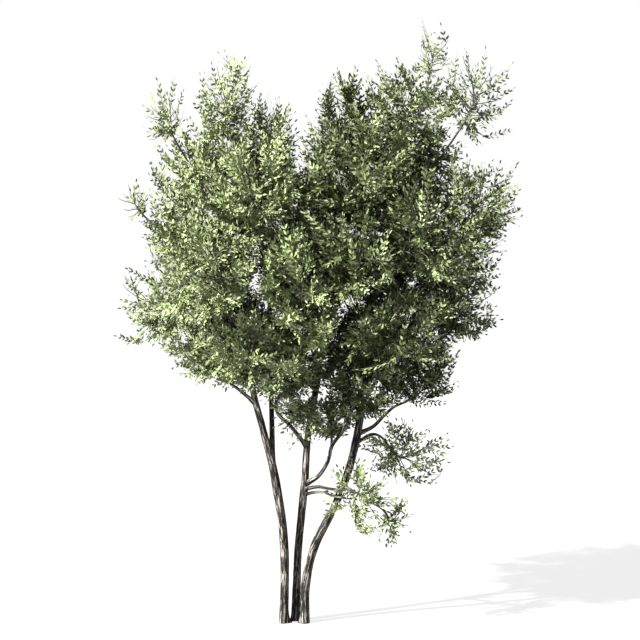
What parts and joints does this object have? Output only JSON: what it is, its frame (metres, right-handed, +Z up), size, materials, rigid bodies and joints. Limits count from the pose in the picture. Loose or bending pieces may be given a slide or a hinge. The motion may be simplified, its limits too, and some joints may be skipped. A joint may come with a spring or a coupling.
{
  "type": "olive tree",
  "caption": "Multi-stemmed olive tree: slender furrowed stems from one root carry an upright twin-domed crown of small grey-green leaves above a loose low skirt.",
  "frame": {"origin": "on the flat cut under the middle stem, at ground level", "axes": "+Z up; +X to the right and -Y towards the viewer, who sees the crown's widest side"},
  "size_m": [4.4546, 3.3711, 6.6183],
  "materials": {
    "bark": "rough furrowed bark",
    "foliage": "matte leaves"
  },
  "bodies": {
    "root": {"stem_left": "bark", "stem_middle": "bark", "stem_right": "bark", "fork_left": "bark", "bough_low_left": "bark", "bough_lobe": "bark", "bough_left": "bark", "bough_front_left": "bark", "bough_back_left": "bark", "bough_loop": "bark", "bough_rise": "bark", "bough_level": "bark", "bough_droop": "bark", "bough_dark": "bark", "bough_fan": "bark", "bough_front_right": "bark", "bough_back_right": "bark", "bough_reach": "bark", "bough_high": "bark", "left_top": "foliage", "left_top_inner": "foliage", "left_spray": "foliage", "left_shoulder": "foliage", "left_upper_front": "foliage", "left_upper_back": "foliage", "left_flank": "foliage", "left_outlier": "foliage", "left_lobe": "foliage", "left_front": "foliage", "left_back": "foliage", "left_low": "foliage", "left_low_front": "foliage", "left_low_back": "foliage", "centre_upper": "foliage", "centre_back": "foliage", "centre_front": "foliage", "centre_low": "foliage", "centre_hanging": "foliage", "right_top_inner": "foliage", "right_top": "foliage", "right_spire": "foliage", "right_horn": "foliage", "right_shoulder": "foliage", "right_upper_front": "foliage", "right_upper_back": "foliage", "right_flank": "foliage", "right_side": "foliage", "right_reach": "foliage", "right_front": "foliage", "right_front_inner": "foliage", "right_back": "foliage", "right_low_front": "foliage", "right_low_back": "foliage", "right_low": "foliage", "right_low_inner": "foliage", "fork_tuft": "foliage", "skirt_fan": "foliage", "skirt_level": "foliage", "skirt_droop": "foliage"}
  },
  "joints": []
}
